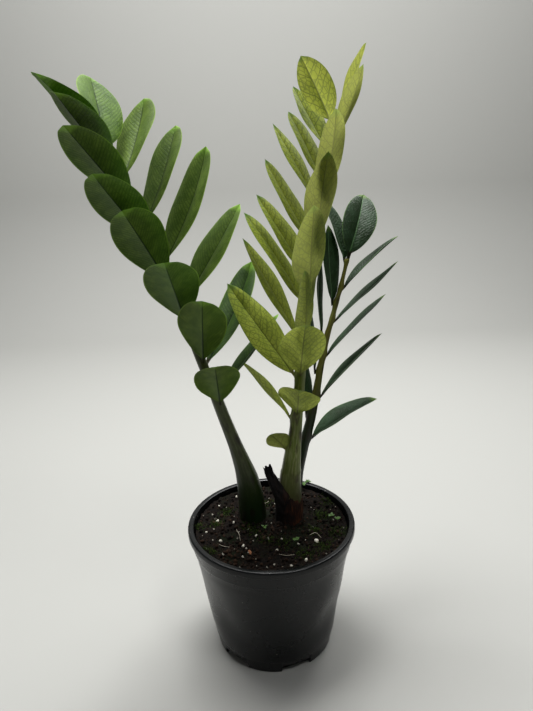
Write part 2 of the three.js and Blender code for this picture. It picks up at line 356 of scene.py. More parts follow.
leafLook = {
    "alongSteps": 66, "acrossSteps": 26,
    "stalkLength": 0.8 * mm, "stalkRadius": 1.25 * mm,
    "middleThickness": 0.8 * mm, "edgeThickness": 0.26 * mm,
    "grooveDepth": 0.35 * mm, "ribHeight": 0.5 * mm, "ribWidth": 0.8 * mm,
    "columnSpread": 1.4,     # draws the columns of faces towards the midrib
    "foldRound": 0.05,       # rounding of the fold, as a part of the width
    "bulge": 0.39,           # four times the crown of each half, as a part of the width
    "wave": 0.05, "waveTurns": 8, "waveShift": 1.7,      # ripple of the edge
    "stalkEnd": 0.35, "bladeStart": 0.10,      # where the stalk has faded and the blade is flat
    # how fast the blade widens from its foot and narrows to its tip
    "baseTaper": {"left": 0.82, "middle": 0.74, "rear": 0.7},
    "tipTaper": {"left": 0.64, "middle": 0.78, "rear": 0.74},
    "point": 0.06, "pointPower": 0.35,      # the drawn-out point, as a part of the length
    "inset": 0.05 * mm,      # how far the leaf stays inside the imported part's box
}

# lightness and yellowness of single leaves beside the rest of their frond, by row and number; the lightness
# is partly the leaf's own tone and partly painted light and shade, higher where a leaf is lit and lower where
# it is shaded
leafTones = {
    "leaf_middle_back": {11: (1.3, 0.3), 10: (1.1, 0.0), 9: (1.1, 0.0), 8: (1.1, 0.0),
                         3: (1.15, 0.0), 2: (0.85, -0.2), 1: (0.4, -0.9)},
    "leaf_middle_front": {8: (1.0, 0.3), 7: (0.5, 0.0), 6: (0.45, 0.0), 5: (0.42, -0.1),
                          4: (0.5, -0.4), 3: (0.7, -0.4), 2: (0.95, -0.2), 1: (0.85, -0.3)},
    "leaf_left_back": {7: (1.3, -0.3), 6: (1.2, 0.1), 5: (0.9, 0.0), 2: (0.5, -0.8), 1: (0.6, -0.8)},
    "leaf_left_front": {8: (1.1, 0.0), 2: (1.05, 0.15), 1: (1.1, 0.15)},
}


def readLeaf(node, path):
    # the CAD leaf's own frame: foot, length along x, across y, upper side z, with its fold and bow
    bm = cadCopy(node)
    poles = [v for v in bm.verts if len(v.link_edges) == 8]
    foot, tip = sorted(poles, key=lambda v: min((v.co - p).length for p in path))
    rings = ringsFrom(foot)[1:-1]

    def edgesOf(ring):
        pairs = [(a, b) for i, a in enumerate(ring) for b in ring[i + 1:]]
        return max(pairs, key=lambda pair: (pair[0].co - pair[1].co).length)

    widest = max(rings, key=lambda ring: (edgesOf(ring)[0].co - edgesOf(ring)[1].co).length)
    left, right = edgesOf(widest)
    across = (left.co - right.co).normalized()
    middles = [sorted(ring, key=lambda v: abs((v.co - centreOf(ring)).dot(across)))[:2]
               for ring in rings]
    pair = middles[rings.index(widest)]
    up = (pair[0].co - pair[1].co).normalized()
    lift = ((left.co + right.co) / 2 - centreOf(pair)).dot(up)
    if lift < 0:
        up, lift = -up, -lift
    ahead = across.cross(up)
    if ahead.dot(tip.co - foot.co) < 0:
        across, ahead = -across, -ahead
    middle = centreOf(middles[len(middles) // 2]) - foot.co
    half = (left.co - right.co).length / 2
    leaf = {
        "foot": foot.co.copy(), "ahead": ahead, "across": across, "up": up,
        "length": (tip.co - foot.co).dot(ahead), "rise": (tip.co - foot.co).dot(up),
        "middle": (middle.dot(ahead), middle.dot(up)),
        "half": hypot(half, lift), "fold": atan2(lift, half),
        "sunk": min((foot.co - curveAt(path, i / 8)).length for i in range(8 * len(path) - 7)),
    }
    bm.free()
    return leaf


def makeLeaf(name, leaf, look, material, slot):
    dice = random.Random(name)
    phase, turnUp, skew = dice.uniform(0, 6.3), dice.uniform(-0.015, 0.025), dice.uniform(-0.05, 0.05)
    seed = dice.random()
    row, number = name.rsplit("_", 1)
    usual = (dice.uniform(0.9, 1.08), dice.uniform(-0.1, 0.1))
    light, yellow = leafTones.get(row, {}).get(int(number), usual)
    length, inset = leaf["length"], look["inset"]
    baseTaper, tipTaper = (look[k][leaf["frond"]] for k in ("baseTaper", "tipTaper"))
    widest = baseTaper / (baseTaper + tipTaper)
    greatest = widest ** baseTaper * (1 - widest) ** tipTaper
    midX, midZ = leaf["middle"]

    bm = bmesh.new()
    bmesh.ops.create_grid(bm, x_segments=look["acrossSteps"], y_segments=look["alongSteps"], size=1)
    upper = secondSkin(bm, bm.faces[:])
    flow = bm.loops.layers.uv.new("leafFlow")
    place = bm.verts.layers.float_vector.new("leafPlace")
    tone = bm.verts.layers.float_vector.new("leafTone")
    flat = {}
    for vert in bm.verts:
        a = copysign(abs(vert.co.x) ** look["columnSpread"], vert.co.x)
        side = copysign(1, a)
        s = (vert.co.y + 1) / 2
        s = 0.5 * s + 0.5 * (1 - cos(pi * s)) / 2
        x = blend(-leaf["sunk"], length, s)
        t = min(1, max(0, (x - look["stalkLength"]) / (length - look["stalkLength"])))
        outline = t ** baseTaper * (1 - t) ** tipTaper / greatest
        outline *= min(1, (1 - t) / look["point"]) ** look["pointPower"]
        blade = leaf["half"] * outline * (1 + skew * side * t)
        stalk = look["stalkRadius"] * (1 - smoothStep(0.0, look["stalkEnd"], t))
        half = (blade ** 3 + stalk ** 3) ** (1 / 3)
        y = a * half * cos(leaf["fold"])
        # a rounded fold, then each half crowned and its edge rippled
        z = (hypot(a, look["foldRound"]) - look["foldRound"]) * blade * sin(leaf["fold"])
        z += look["bulge"] * blade * abs(a) * (1 - abs(a))
        ripple = sin(t * look["waveTurns"] + phase + look["waveShift"] * side)
        z += look["wave"] * blade * a * a * ripple
        # the bow runs through the foot, the middle and the tip
        z += midZ * x * (length - x) / (midX * (length - midX))
        z += leaf["rise"] * x * (x - midX) / (length * (length - midX)) + turnUp * length * t ** 5
        blady = smoothStep(0.0, look["bladeStart"], t)
        thick = blend(look["middleThickness"], look["edgeThickness"], a * a) / 2
        thick = blend(look["stalkRadius"] * sqrt(max(0, 1 - a * a)), thick, blady) * (1 - t ** 6)
        near = exp(-(y / look["ribWidth"]) ** 2) * blady * (1 - 0.8 * t)
        if vert in upper:
            z += thick - look["grooveDepth"] * near
        else:
            z -= thick + look["ribHeight"] * near
        flat[vert] = (y, x)
        vert[place] = (a, t, 1.0 if vert in upper else 0.0)
        vert[tone] = (light, yellow, seed)
        spot = leaf["foot"] + leaf["ahead"] * x + leaf["across"] * y + leaf["up"] * z
        vert.co = [min(max(c, low + inset), high - inset) for c, low, high in zip(spot, *cadBox)]
    for face in bm.faces:
        for loop in face.loops:
            loop[flow].uv = flat[loop.vert]
    bmesh.ops.remove_doubles(bm, verts=bm.verts, dist=0.01 * mm)
    addPiece(name + "_blade", bm, material, name, sharp=1.2)


# Living leaf: a waxy cuticle over green tissue. The wax gives a clear, slightly stippled gloss above
# and a satin underside; the thin blade lets some light through.
leafSkin = {      # what the three kinds share
    "veinSlant": 0.8, "veinBend": 22.0, "veinStagger": 0.45, "veinWander": 1.2, "wanderSize": 13 * mm,
    "netTurn": (0, 0, 0.5), "netStretch": (1.2, 0.85, 1),
    "midribHalf": 0.7 * mm, "midribNarrows": -0.45 * mm,
    "blotchSize": 8 * mm,
    # the cuticle's stipple is about 0.5 mm, drawn at 1.7 mm so that it shows
    "stippleSize": 1.7 * mm, "stippleRough": 0.1,
    "veinDepthAbove": -0.1, "veinDepthBelow": -0.5, "ior": 1.42, "specular": 0.22,
    # the side veins are about 1.7 mm apart, drawn at 2.6 mm so that they show
    "veinSpacing": 2.6 * mm, "veinWidth": 0.3, "netSize": 4.2 * mm,
}
darkLeafLook = {
    "above": "#062403", "aboveDeep": "#041c02", "below": "#586e28", "belowDeep": "#465c1c",
    "veinAbove": "#24561a", "veinBelow": "#1c3006", "midribAbove": "#4a8028", "midribBelow": "#142606",
    "veinsAbove": 0.1, "veinsBelow": 0.45, "netAbove": 0.06, "netBelow": 0.3,
    # edge: a lighter green margin band, painted light along the lit margin
    "edge": "#7c9a38", "edgeStrength": 0.7, "tip": "#7da838", "tipStrength": 0.6, "stalk": "#2a2412",
    "roughAbove": 0.14, "roughBelow": 0.5, "stippleDepth": 0.1 * mm, "through": 0.06, "glow": "#5a9a1c",
}
brightLeafLook = {
    "above": "#dbe496", "aboveDeep": "#cbd87c", "below": "#8e9a36", "belowDeep": "#7c8a28",
    "veinAbove": "#7f9c34", "veinBelow": "#34480c", "midribAbove": "#b9c884", "midribBelow": "#26380a",
    "veinsAbove": 0.6, "veinsBelow": 0.95, "netAbove": 0.3, "netBelow": 0.65,
    "edge": "#5a7a20", "edgeStrength": 0.6, "tip": "#2f5f14", "tipStrength": 0.9, "stalk": "#1d160a",
    "roughAbove": 0.24, "roughBelow": 0.5, "stippleDepth": 0.14 * mm, "through": 0.42, "glow": "#eef28c",
    "veinSpacing": 6.2 * mm, "veinWidth": 0.1, "netSize": 3.4 * mm,
}
rearLeafLook = {
    "above": "#0c3409", "aboveDeep": "#082606", "below": "#2a4028", "belowDeep": "#1e3018",
    "veinAbove": "#1c4a16", "veinBelow": "#101e0a", "midribAbove": "#2c5a22", "midribBelow": "#52704a",
    "veinsAbove": 0.12, "veinsBelow": 0.4, "netAbove": 0.05, "netBelow": 0.25,
    # edge: a lighter green margin band, painted light along the lit margin
    "edge": "#6a8a50", "edgeStrength": 0.6, "tip": "#6a8a34", "tipStrength": 0.5, "stalk": "#1c170c",
    "roughAbove": 0.06, "roughBelow": 0.45, "stippleDepth": 0.24 * mm, "through": 0.04, "glow": "#3a7a1c",
}


def makeLeafMaterial(name, look):
    look = {**leafSkin, **look}
    material, add = newMaterial(name)
    place = add("Attribute", {"attribute_name": "leafPlace"}).outputs["Vector"]
    tone = add("Attribute", {"attribute_name": "leafTone"}).outputs["Vector"]
    across, along, upper = add("SeparateXYZ", None, {0: place}).outputs
    light, yellow, seed = add("SeparateXYZ", None, {0: tone}).outputs
    flow = add("UVMap", {"uv_map": "leafFlow"})
    y, x, _ = add("SeparateXYZ", None, {0: flow}).outputs
    spot = add("TexCoord").outputs["Object"]

    # side veins slant away from the midrib and bend towards the tip, by turns left and right
    wander = add("TexNoise", None, {"Vector": spot, "Scale": 1 / look["wanderSize"], "Detail": 2.0})
    away = add("Math", absolute, {0: y})
    side = add("Math", {"operation": "GREATER_THAN"}, {0: y, 1: 0.0})
    curl = add("Math", multiplyAdd, {0: away, 1: look["veinBend"], 2: look["veinSlant"]})
    curl = add("Math", multiply, {0: away, 1: curl})
    count = add("Math", minus, {0: x, 1: curl})
    count = add("Math", divide, {0: count, 1: look["veinSpacing"]})
    count = add("Math", multiplyAdd, {0: side, 1: look["veinStagger"], 2: count})
    count = add("Math", multiplyAdd, {0: wander, 1: look["veinWander"], 2: count})
    count = add("Math", plus, {0: count, 1: add("Math", multiply, {0: seed, 1: 7.0})})
    saw = add("Math", minus, {0: add("Math", {"operation": "FRACT"}, {0: count}), 1: 0.5})
    saw = add("Math", absolute, {0: saw})
    veins = add("MapRange", soft, {"Value": saw, "From Min": 0.5 - look["veinWidth"], "From Max": 0.49})
    # the net of small veins between them
    slanted = add("Mapping", None, {"Vector": flow, "Rotation": look["netTurn"],
                                    "Scale": look["netStretch"]})
    shifted = add("VectorMath", plus, {0: slanted, 1: tone})
    cells = add("TexVoronoi", {"feature": "DISTANCE_TO_EDGE"},
                {"Vector": shifted, "Scale": 1 / look["netSize"], "Randomness": 0.9})
    net = add("MapRange", soft, {"Value": cells, "From Min": 0.11, "From Max": 0.02})
    ribHalf = add("Math", multiplyAdd, {0: along, 1: look["midribNarrows"], 2: look["midribHalf"]})
    rib = add("Math", divide, {0: away, 1: ribHalf})
    rib = add("MapRange", soft, {"Value": rib, "From Min": 1.1, "From Max": 0.5})

    mottle = add("TexNoise", None, {"Vector": spot, "Scale": 1 / look["blotchSize"], "Detail": 4.0})
    patchy = add("MapRange", soft, {"Value": mottle, "From Min": 0.36, "From Max": 0.66})
    above, below = (add("Mix", colourMix, {"Factor": patchy, "A": look[word + "Deep"], "B": look[word]})
                    for word in ("above", "below"))
    colour = add("Mix", colourMix, {"Factor": upper, "A": below, "B": above})
    veinColour, ribColour, veinFade, netFade, rough, depth = (
        add("Mix", mix, {"Factor": upper, "A": look[word + "Below"], "B": look[word + "Above"]})
        for word, mix in (("vein", colourMix), ("midrib", colourMix), ("veins", numberMix),
                          ("net", numberMix), ("rough", numberMix), ("veinDepth", numberMix)))
    veinLines = add("Math", multiply, {0: veins, 1: veinFade})
    lines = add("Math", maximum, {0: veinLines, 1: add("Math", multiply, {0: net, 1: netFade})})
    for factor, line in ((lines, veinColour), (rib, ribColour)):
        colour = add("Mix", colourMix, {"Factor": factor, "A": colour, "B": line})
    hue = add("Math", multiplyAdd, {0: yellow, 1: -0.035, 2: 0.5})
    # Value scales each leaf's lightness, partly painted light and shade
    colour = add("HueSaturation", None, {"Hue": hue, "Value": light, "Color": colour})
    # the margin band: on the dark and rear leaves its lighter green is painted light along the lit margin; on
    # the young leaves it is a darker green
    edge = add("MapRange", soft, {"Value": add("Math", absolute, {0: across}),
                                  "From Min": 0.94, "From Max": 0.985, "To Max": look["edgeStrength"]})
    tipEnd = add("MapRange", soft, {"Value": add("Math", multiplyAdd, {0: mottle, 1: 0.1, 2: along}),
                                    "From Min": 0.94, "From Max": 1.03, "To Max": look["tipStrength"]})
    stalk = add("MapRange", soft, {"Value": along, "From Min": 0.05, "From Max": 0.01})
    for factor, end in ((edge, "edge"), (tipEnd, "tip"), (stalk, "stalk")):
        colour = add("Mix", colourMix, {"Factor": factor, "A": colour, "B": look[end]})

    stipple = add("TexNoise", None, {"Vector": spot, "Scale": 1 / look["stippleSize"], "Detail": 3.0})
    rough = add("Math", multiplyAdd, {0: stipple, 1: look["stippleRough"], 2: rough})
    ridge = add("Math", maximum, {0: veins, 1: net})
    relief = add("Math", multiplyAdd, {0: ridge, 1: depth, 2: stipple})
    bump = add("Bump", None, {"Strength": 1.0, "Distance": look["stippleDepth"], "Height": relief})
    body = add("BsdfPrincipled", None, {
        "Base Color": colour, "Roughness": rough, "IOR": look["ior"],
        "Specular IOR Level": look["specular"], "Normal": bump})
    glow = add("Mix", {**colourMix, "blend_type": "MULTIPLY"},
               {"Factor": 0.7, "A": look["glow"], "B": colour})
    passing = add("BsdfTranslucent", None, {"Color": glow})
    both = add("MixShader", None, {0: look["through"], 1: body, 2: passing})
    add("OutputMaterial", None, {"Surface": both})
    return material


stems = {frond: readStem(node) for frond, node in stemNodes.items()}
leaves = {}
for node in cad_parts:
    if node.startswith("leaf_"):
        frond = node.split("_")[1]
        leaves[node] = {**readLeaf(node, stems[frond][0]), "frond": frond}
print("read", len(leaves), "leaves on", len(stems), "stems")

leafMaterials = {
    "left": (makeLeafMaterial("waxy mature leaf, dark green", darkLeafLook), "leaf_dark"),
    "middle": (makeLeafMaterial("waxy young leaf, yellow-green", brightLeafLook), "leaf_bright"),
    "rear": (makeLeafMaterial("waxy old leaf, deep green", rearLeafLook), "leaf_rear"),
}
for name, leaf in leaves.items():
    makeLeaf(name, leaf, leafLook, *leafMaterials[leaf["frond"]])
print("leaves made")


# Fleshy stem: fine fibres lengthwise under a satin skin, brown mottling, darker at the foot.
stemLooks = {
    "left": {"low": "#12260a", "high": "#3a4020", "fleck": "#1c170c", "pale": "#5a5f3c",
             "lowEnd": 0.092, "highEnd": 0.17, "roughness": 0.34},
    "middle": {"low": "#3a3a1c", "high": "#5c6a24", "fleck": "#30200f", "pale": "#9a9a6c",
               "lowEnd": 0.10, "highEnd": 0.15, "roughness": 0.42},
    "rear": {"low": "#13240c", "high": "#5a5820", "fleck": "#20180c", "pale": "#747a40",
             "lowEnd": 0.15, "highEnd": 0.21, "roughness": 0.4},
}


def makeStemMaterial(name, look):
    material, add = newMaterial(name)
    height = add("SeparateXYZ", None, {0: add("TexCoord").outputs["Object"]}).outputs[2]
    straight = add("Attribute", {"attribute_name": "stemPlace"}).outputs["Vector"]
    rise = add("MapRange", soft, {"Value": height, "From Min": look["lowEnd"], "From Max": look["highEnd"]})
    drawn = add("Mapping", None, {"Vector": straight, "Scale": (1, 1, 0.07)})
    # fibre bundles about 1.2 mm apart
    fibres = add("TexNoise", None, {"Vector": drawn, "Scale": 1 / (1.2 * mm), "Detail": 4.0})
    longPatch = add("Mapping", None, {"Vector": straight, "Scale": (1, 1, 0.35)})
    blotch = add("TexNoise", None, {"Vector": longPatch, "Scale": 1 / (5 * mm), "Detail": 5.0})
    skin = add("Mix", colourMix, {"Factor": rise, "A": look["low"], "B": look["high"]})
    pale = add("MapRange", None, {"Value": fibres, "From Min": 0.48, "From Max": 0.8, "To Max": 0.75})
    pale = add("Math", multiply, {0: pale, 1: rise})
    skin = add("Mix", colourMix, {"Factor": pale, "A": skin, "B": look["pale"]})
    dark = add("MapRange", None, {"Value": blotch, "From Min": 0.52, "From Max": 0.68, "To Max": 0.85})
    skin = add("Mix", colourMix, {"Factor": dark, "A": skin, "B": look["fleck"]})
    bump = add("Bump", None, {"Strength": 0.4, "Distance": 0.2 * mm, "Height": fibres})
    body = add("BsdfPrincipled", None, {"Base Color": skin, "Roughness": look["roughness"], "IOR": 1.42,
                                        "Specular IOR Level": 0.4, "Normal": bump})
    add("OutputMaterial", None, {"Surface": body})
    return material


stemSlots = {"left": "stem_dark", "middle": "stem_bright", "rear": "stem_dark"}
for frond, slot in stemSlots.items():
    makeStem(frond, stemLook, makeStemMaterial("fleshy stem skin, " + frond, stemLooks[frond]))
print("stems made")


sheathLook = {
    "columns": 56, "rows": 44, "firstAngle": -8, "lastAngle": -205,
    "foot": 84 * mm, "lowTop": 104 * mm, "slant": 13 * mm, "highest": 0.125,
    "clear": 0.25 * mm, "thickness": 0.5 * mm, "wrinkle": 0.9 * mm, "ragged": 3.2 * mm,
    # the torn tail: points along it and its width at each, in millimetres
    "tail": [(11.5, 1.2, 98), (9.5, 0.2, 107), (6.2, 0.2, 115), (2.8, 0.6, 123), (0, 1.4, 130),
             (-2.3, 2.0, 137)],
    "tailWidths": [13, 12, 9.5, 7.5, 6.4, 5.8], "tailRows": 40, "tailColumns": 12,
    "dark": "#090605", "brown": "#2c170e", "rust": "#553018",
}


def stemCentre(frond, height):
    path, radii = stems[frond]
    place = min(range(8 * len(path) - 7), key=lambda i: abs(curveAt(path, i / 8).z - height)) / 8
    return curveAt(path, place), curveAt(radii, place)


def makeSheath(look, material):
    bm = bmesh.new()
    columns, rows = look["columns"], look["rows"]
    bmesh.ops.create_grid(bm, x_segments=columns, y_segments=rows, size=1)
    outer = secondSkin(bm, bm.faces[:])
    span = look["highest"] - look["foot"]
    centres = [stemCentre("middle", look["foot"] + span * i / rows) for i in range(rows + 1)]
    for vert in bm.verts:
        u, v = (vert.co.x + 1) / 2, (vert.co.y + 1) / 2
        angle = radians(blend(look["firstAngle"], look["lastAngle"], u))
        rag = ruffle(u * 9, 0.5, 0) + 0.6 * ruffle(u * 31, 2.5, 0)
        top = look["lowTop"] + look["slant"] * smoothStep(0, 0.9, u) + look["ragged"] * rag
        height = blend(look["foot"], top, v)
        row = round((height - look["foot"]) / span * rows)
        centre, radius = centres[min(rows, max(0, row))]
        fold = ruffle(u * 14, height / (30 * mm), 7) + 0.5 * ruffle(u * 40, height / (9 * mm), 3)
        lift = look["clear"] + look["wrinkle"] * (0.6 + fold) * (0.35 + 0.65 * v)
        lift = max(look["clear"], lift) + (look["thickness"] if vert in outer else 0)
        vert.co = (centre.x + (radius + lift) * cos(angle),
                   centre.y + (radius + lift) * sin(angle), height)
    # the torn tail that stands away to the left
    tail = bmesh.ops.create_grid(bm, x_segments=look["tailColumns"], y_segments=look["tailRows"],
                                 size=1)["verts"]
    known = set(tail)
    outer = secondSkin(bm, [f for f in bm.faces if f.verts[0] in known])
    spine = [Vector(p) * mm for p in look["tail"]]
    last = len(spine) - 1
    for vert in tail + list(outer):
        v = (vert.co.y + 1) / 2
        u = vert.co.x
        bite = 0.07 * (ruffle(u * 2.1, 5, 0) + 0.5) + 0.02 * ruffle(u * 6, 8, 0)
        v -= bite * smoothStep(0.7, 1, v)
        place = v * last
        ahead = curveAt(spine, min(last, place + 0.1)) - curveAt(spine, max(0, place - 0.1))
        ahead = ahead.normalized()
        side = Vector((0.93, 0.25, 0)) + Vector((0, 0, 0.35)) * v
        side = (side - ahead * side.dot(ahead)).normalized()
        outward = side.cross(ahead)
        width = curveAt(look["tailWidths"], place) * mm / 2
        width *= 1 + 0.16 * ruffle(v * 7, copysign(3, u), 0)
        crease = ruffle(u * 3.1, v * 5, 1) * 1.3 * mm + ruffle(u * 7, v * 14, 4) * 0.5 * mm
        crease += (1 - u * u) * mm
        depth = crease + (look["thickness"] if vert in outer else 0)
        vert.co = curveAt(spine, place) + side * u * width + outward * depth
    addPiece("dried_sheath_torn", bm, material, "dried_sheath", sharp=1.0)


def makeSheathMaterial(look):
    # Dried leaf sheath: papery, fibrous and nearly black, rust-brown where the fibres are bare
    material, add = newMaterial("dried leaf sheath, papery")
    spot = add("TexCoord").outputs["Object"]
    drawn = add("Mapping", None, {"Vector": spot, "Scale": (1, 1, 0.16)})
    fibres = add("TexNoise", None, {"Vector": drawn, "Scale": 1 / (0.9 * mm), "Detail": 4.0})
    patches = add("TexNoise", None, {"Vector": spot, "Scale": 1 / (7 * mm), "Detail": 3.0})
    # barer towards the right
    rightward = add("MapRange", None, {"Value": add("SeparateXYZ", None, {0: spot}).outputs[0],
                                       "From Min": 6 * mm, "From Max": 20 * mm, "To Max": 0.3})
    bare = add("Math", plus, {0: add("Math", multiply, {0: fibres, 1: patches}), 1: rightward})
    brown = add("MapRange", None, {"Value": bare, "From Min": 0.30, "From Max": 0.5})
    colour = add("Mix", colourMix, {"Factor": brown, "A": look["dark"], "B": look["brown"]})
    rust = add("MapRange", None, {"Value": bare, "From Min": 0.5, "From Max": 0.62, "To Max": 0.8})
    colour = add("Mix", colourMix, {"Factor": rust, "A": colour, "B": look["rust"]})
    bump = add("Bump", None, {"Strength": 0.7, "Distance": 0.35 * mm, "Height": fibres})
    body = add("BsdfPrincipled", None, {"Base Color": colour, "Roughness": 0.8,
                                        "Specular IOR Level": 0.25, "Normal": bump})
    add("OutputMaterial", None, {"Surface": body})
    return material


makeSheath(sheathLook, makeSheathMaterial(sheathLook))
print("sheath made")


potLook = {
    "steps": 168, "wallRows": 14,
    # radius and height of each turn of the wall, in millimetres, outside and then inside
    "outside": [(0, 0), (43.0, 0), (43.4, 0.4), (44.5, 9.0), (45.1, 9.4)],
    "upper": [(56.1, 79.3), (57.0, 79.7), (57.4, 89.4), (59.6, 89.4), (60, 89.8), (60, 92.6),
              (59.7, 93.5), (59.0, 93.95), (57.2, 93.95), (56.1, 93.5), (55.8, 92.6), (55.8, 89.4)],
    "inside": [(43.0, 9.4), (41.8, 3.0), (40.6, 1.8), (0, 1.8)],
    "swell": 0.8 * mm, "edge": 0.22 * mm,
    # the wall bends only between these heights, in millimetres, and fully between the inner two
    "bends": (9.5, 10, 28, 62, 79),
    # soft dents: angle round the axis, then height, reach and depth in millimetres
    "dents": [(-130, 36, 15, 2.0), (-38, 34, 14, 2.0), (-95, 52, 22, 0.8), (55, 48, 18, 1.4),
              (150, 38, 16, 1.2)], "dentRadius": 50,
    "slots": 6, "firstSlot": -71, "slotSize": (8, 21, 11.2), "slotRound": 1.2, "slotRadius": 43.4,
    "colour": "#040607", "worn": "#0c0f12", "dust": "#8d8a80", "roughness": 0.24,
}


def makePotMaterial(look):
    # Injection-moulded polypropylene: near-black and satin, scuffed greyer, with a few dust specks
    material, add = newMaterial("injection-moulded polypropylene, charcoal")
    spot = add("TexCoord").outputs["Object"]
    smear = add("TexNoise", None, {"Vector": spot, "Scale": 1 / (26 * mm), "Detail": 5.0, "Roughness": 0.6})
    fine = add("TexNoise", None, {"Vector": spot, "Scale": 1 / (0.9 * mm), "Detail": 2.0})
    specks = add("TexVoronoi", None, {"Vector": spot, "Scale": 1 / (8 * mm)})
    worn = add("MapRange", None, {"Value": smear, "From Min": 0.42, "From Max": 0.75, "To Max": 0.6})
    colour = add("Mix", colourMix, {"Factor": worn, "A": look["colour"], "B": look["worn"]})
    speck = add("MapRange", None, {"Value": specks, "From Min": 0.055, "From Max": 0.03, "To Max": 0.6})
    colour = add("Mix", colourMix, {"Factor": speck, "A": colour, "B": look["dust"]})
    rough = add("MapRange", None, {"Value": smear, "To Min": look["roughness"] - 0.08,
                                   "To Max": look["roughness"] + 0.16})
    bump = add("Bump", None, {"Strength": 0.15, "Distance": 0.1 * mm, "Height": fine})
    body = add("BsdfPrincipled", None, {"Base Color": colour, "Roughness": rough, "IOR": 1.49,
                                        "Specular IOR Level": 0.3, "Normal": bump})
    add("OutputMaterial", None, {"Surface": body})
    return material


def makePot(look):
    wall = []
    for low, high in ((look["outside"][-1], look["upper"][0]), (look["upper"][-1], look["inside"][0])):
        rows = look["wallRows"]
        wall.append([tuple(blend(a, b, i / rows) for a, b in zip(low, high)) for i in range(1, rows)])
    profile = look["outside"] + wall[0] + look["upper"] + wall[1] + look["inside"]
    bm = turned([(r * mm, z * mm) for r, z in profile], look["steps"])
    lowest, low, full, high, highest = (height * mm for height in look["bends"])
    for vert in bm.verts:
        flat = Vector((vert.co.x, vert.co.y, 0))
        if lowest < vert.co.z < highest and flat.length > 40 * mm:
            swell = noise.noise(vert.co / (38 * mm)) + 0.4 * noise.noise(vert.co / (17 * mm))
            window = smoothStep(low, full, vert.co.z) * smoothStep(highest, high, vert.co.z)
            push = look["swell"] * swell
            for angle, height, reach, depth in look["dents"]:
                turn = Matrix.Rotation(radians(angle), 3, "Z")
                heart = turn @ Vector((look["dentRadius"], 0, height)) * mm
                push -= depth * mm * exp(-((vert.co - heart).length / (reach * mm)) ** 2)
            vert.co += flat.normalized() * push * window
    bmesh.ops.recalc_face_normals(bm, faces=bm.faces)
    corners = [e for e in bm.edges if e.calc_face_angle(0) > 0.5]
    bmesh.ops.bevel(bm, geom=corners, offset=look["edge"], offset_type="OFFSET", affect="EDGES", segments=3,
                    profile=0.5, material=-1, clamp_overlap=True)
    pot = addPiece("pot_moulded", bm, makePotMaterial(look), "pot", sharp=0.6)

    # drain slots round the foot
    cutters = bmesh.new()
    for i in range(look["slots"]):
        angle = radians(look["firstSlot"] + i * 360 / look["slots"])
        spot = Matrix.Rotation(angle, 4, "Z") @ Matrix.Translation((look["slotRadius"] * mm, 0, 0))
        size = Matrix.Diagonal([s * mm for s in look["slotSize"]] + [1])
        verts = bmesh.ops.create_cube(cutters, size=1, matrix=spot @ size)["verts"]
        inward = spot.to_3x3() @ Vector((1, 0, 0))
        edges = [e for e in cutters.edges if e.verts[0] in verts
                 and abs((e.verts[0].co - e.verts[1].co).normalized().dot(inward)) > 0.9]
        bmesh.ops.bevel(cutters, geom=edges, offset=look["slotRound"] * mm, affect="EDGES", segments=4,
                        profile=0.5, material=-1)
    cutter = newObject("slotCutters", cutters)
    cut = pot.modifiers.new("slots", "BOOLEAN")
    cut.object = cutter
    cut.solver = "EXACT"
    bpy.context.view_layer.update()
    finished = bpy.data.meshes.new_from_object(pot.evaluated_get(bpy.context.evaluated_depsgraph_get()))
    pot.modifiers.clear()
    pot.data = finished
    bpy.data.objects.remove(cutter)


makePot(potLook)
print("pot made")


peatLook = {
    "steps": 150, "rings": 62, "radius": 54.6, "top": 87.0,      # in millimetres
    # where the plug meets the wall, in millimetres, downwards
    "side": [(54.9, 84.0), (42.7, 9.5), (41.4, 3.2), (40.3, 2.15), (0, 2.15)],
    "swell": 1.8 * mm, "swellSize": 12 * mm, "grain": 1.3 * mm, "grainSize": 3.4 * mm,
    "fine": 0.5 * mm, "fineSize": 1.3 * mm, "edgeHeap": 2.4 * mm, "edgeFrom": 44 * mm, "edgeTo": 54 * mm,
    "stemHeap": 2.0 * mm, "stemHeapReach": 15 * mm,
    "dark": "#060504", "brown": "#1c120b", "moss": "#10190a",
}


def soilHeight(x, y):
    look = peatLook
    spot = Vector((x, y, 0))
    height = look["top"] * mm
    for layer in ("swell", "grain", "fine"):
        height += noise.noise(spot / look[layer + "Size"]) * look[layer]
    height += smoothStep(look["edgeFrom"], look["edgeTo"], spot.length) * look["edgeHeap"]
    for path, _ in stems.values():
        away = (Vector((path[1].x, path[1].y, 0)) - spot).length
        height += look["stemHeap"] * exp(-(away / look["stemHeapReach"]) ** 2)
    return height


def makePeatMaterial(look):
    # Moist peat: fine dark fibre and crumbs, browner where it dries, green with moss in places
    material, add = newMaterial("moist peat")
    spot = add("TexCoord").outputs["Object"]
    grain = add("TexNoise", None, {"Vector": spot, "Scale": 1 / (1.6 * mm), "Detail": 5.0, "Roughness": 0.65})
    patch = add("TexNoise", None, {"Vector": spot, "Scale": 1 / (16 * mm), "Detail": 3.0})
    dry = add("MapRange", None, {"Value": grain, "From Min": 0.42, "From Max": 0.72})
    colour = add("Mix", colourMix, {"Factor": dry, "A": look["dark"], "B": look["brown"]})
    green = add("MapRange", None, {"Value": patch, "From Min": 0.5, "From Max": 0.66, "To Max": 0.6})
    colour = add("Mix", colourMix, {"Factor": green, "A": colour, "B": look["moss"]})
    bump = add("Bump", None, {"Strength": 0.8, "Distance": 0.5 * mm, "Height": grain})
    body = add("BsdfPrincipled", None, {"Base Color": colour, "Roughness": 0.9,
                                        "Specular IOR Level": 0.1, "Normal": bump})
    add("OutputMaterial", None, {"Surface": body})
    return material


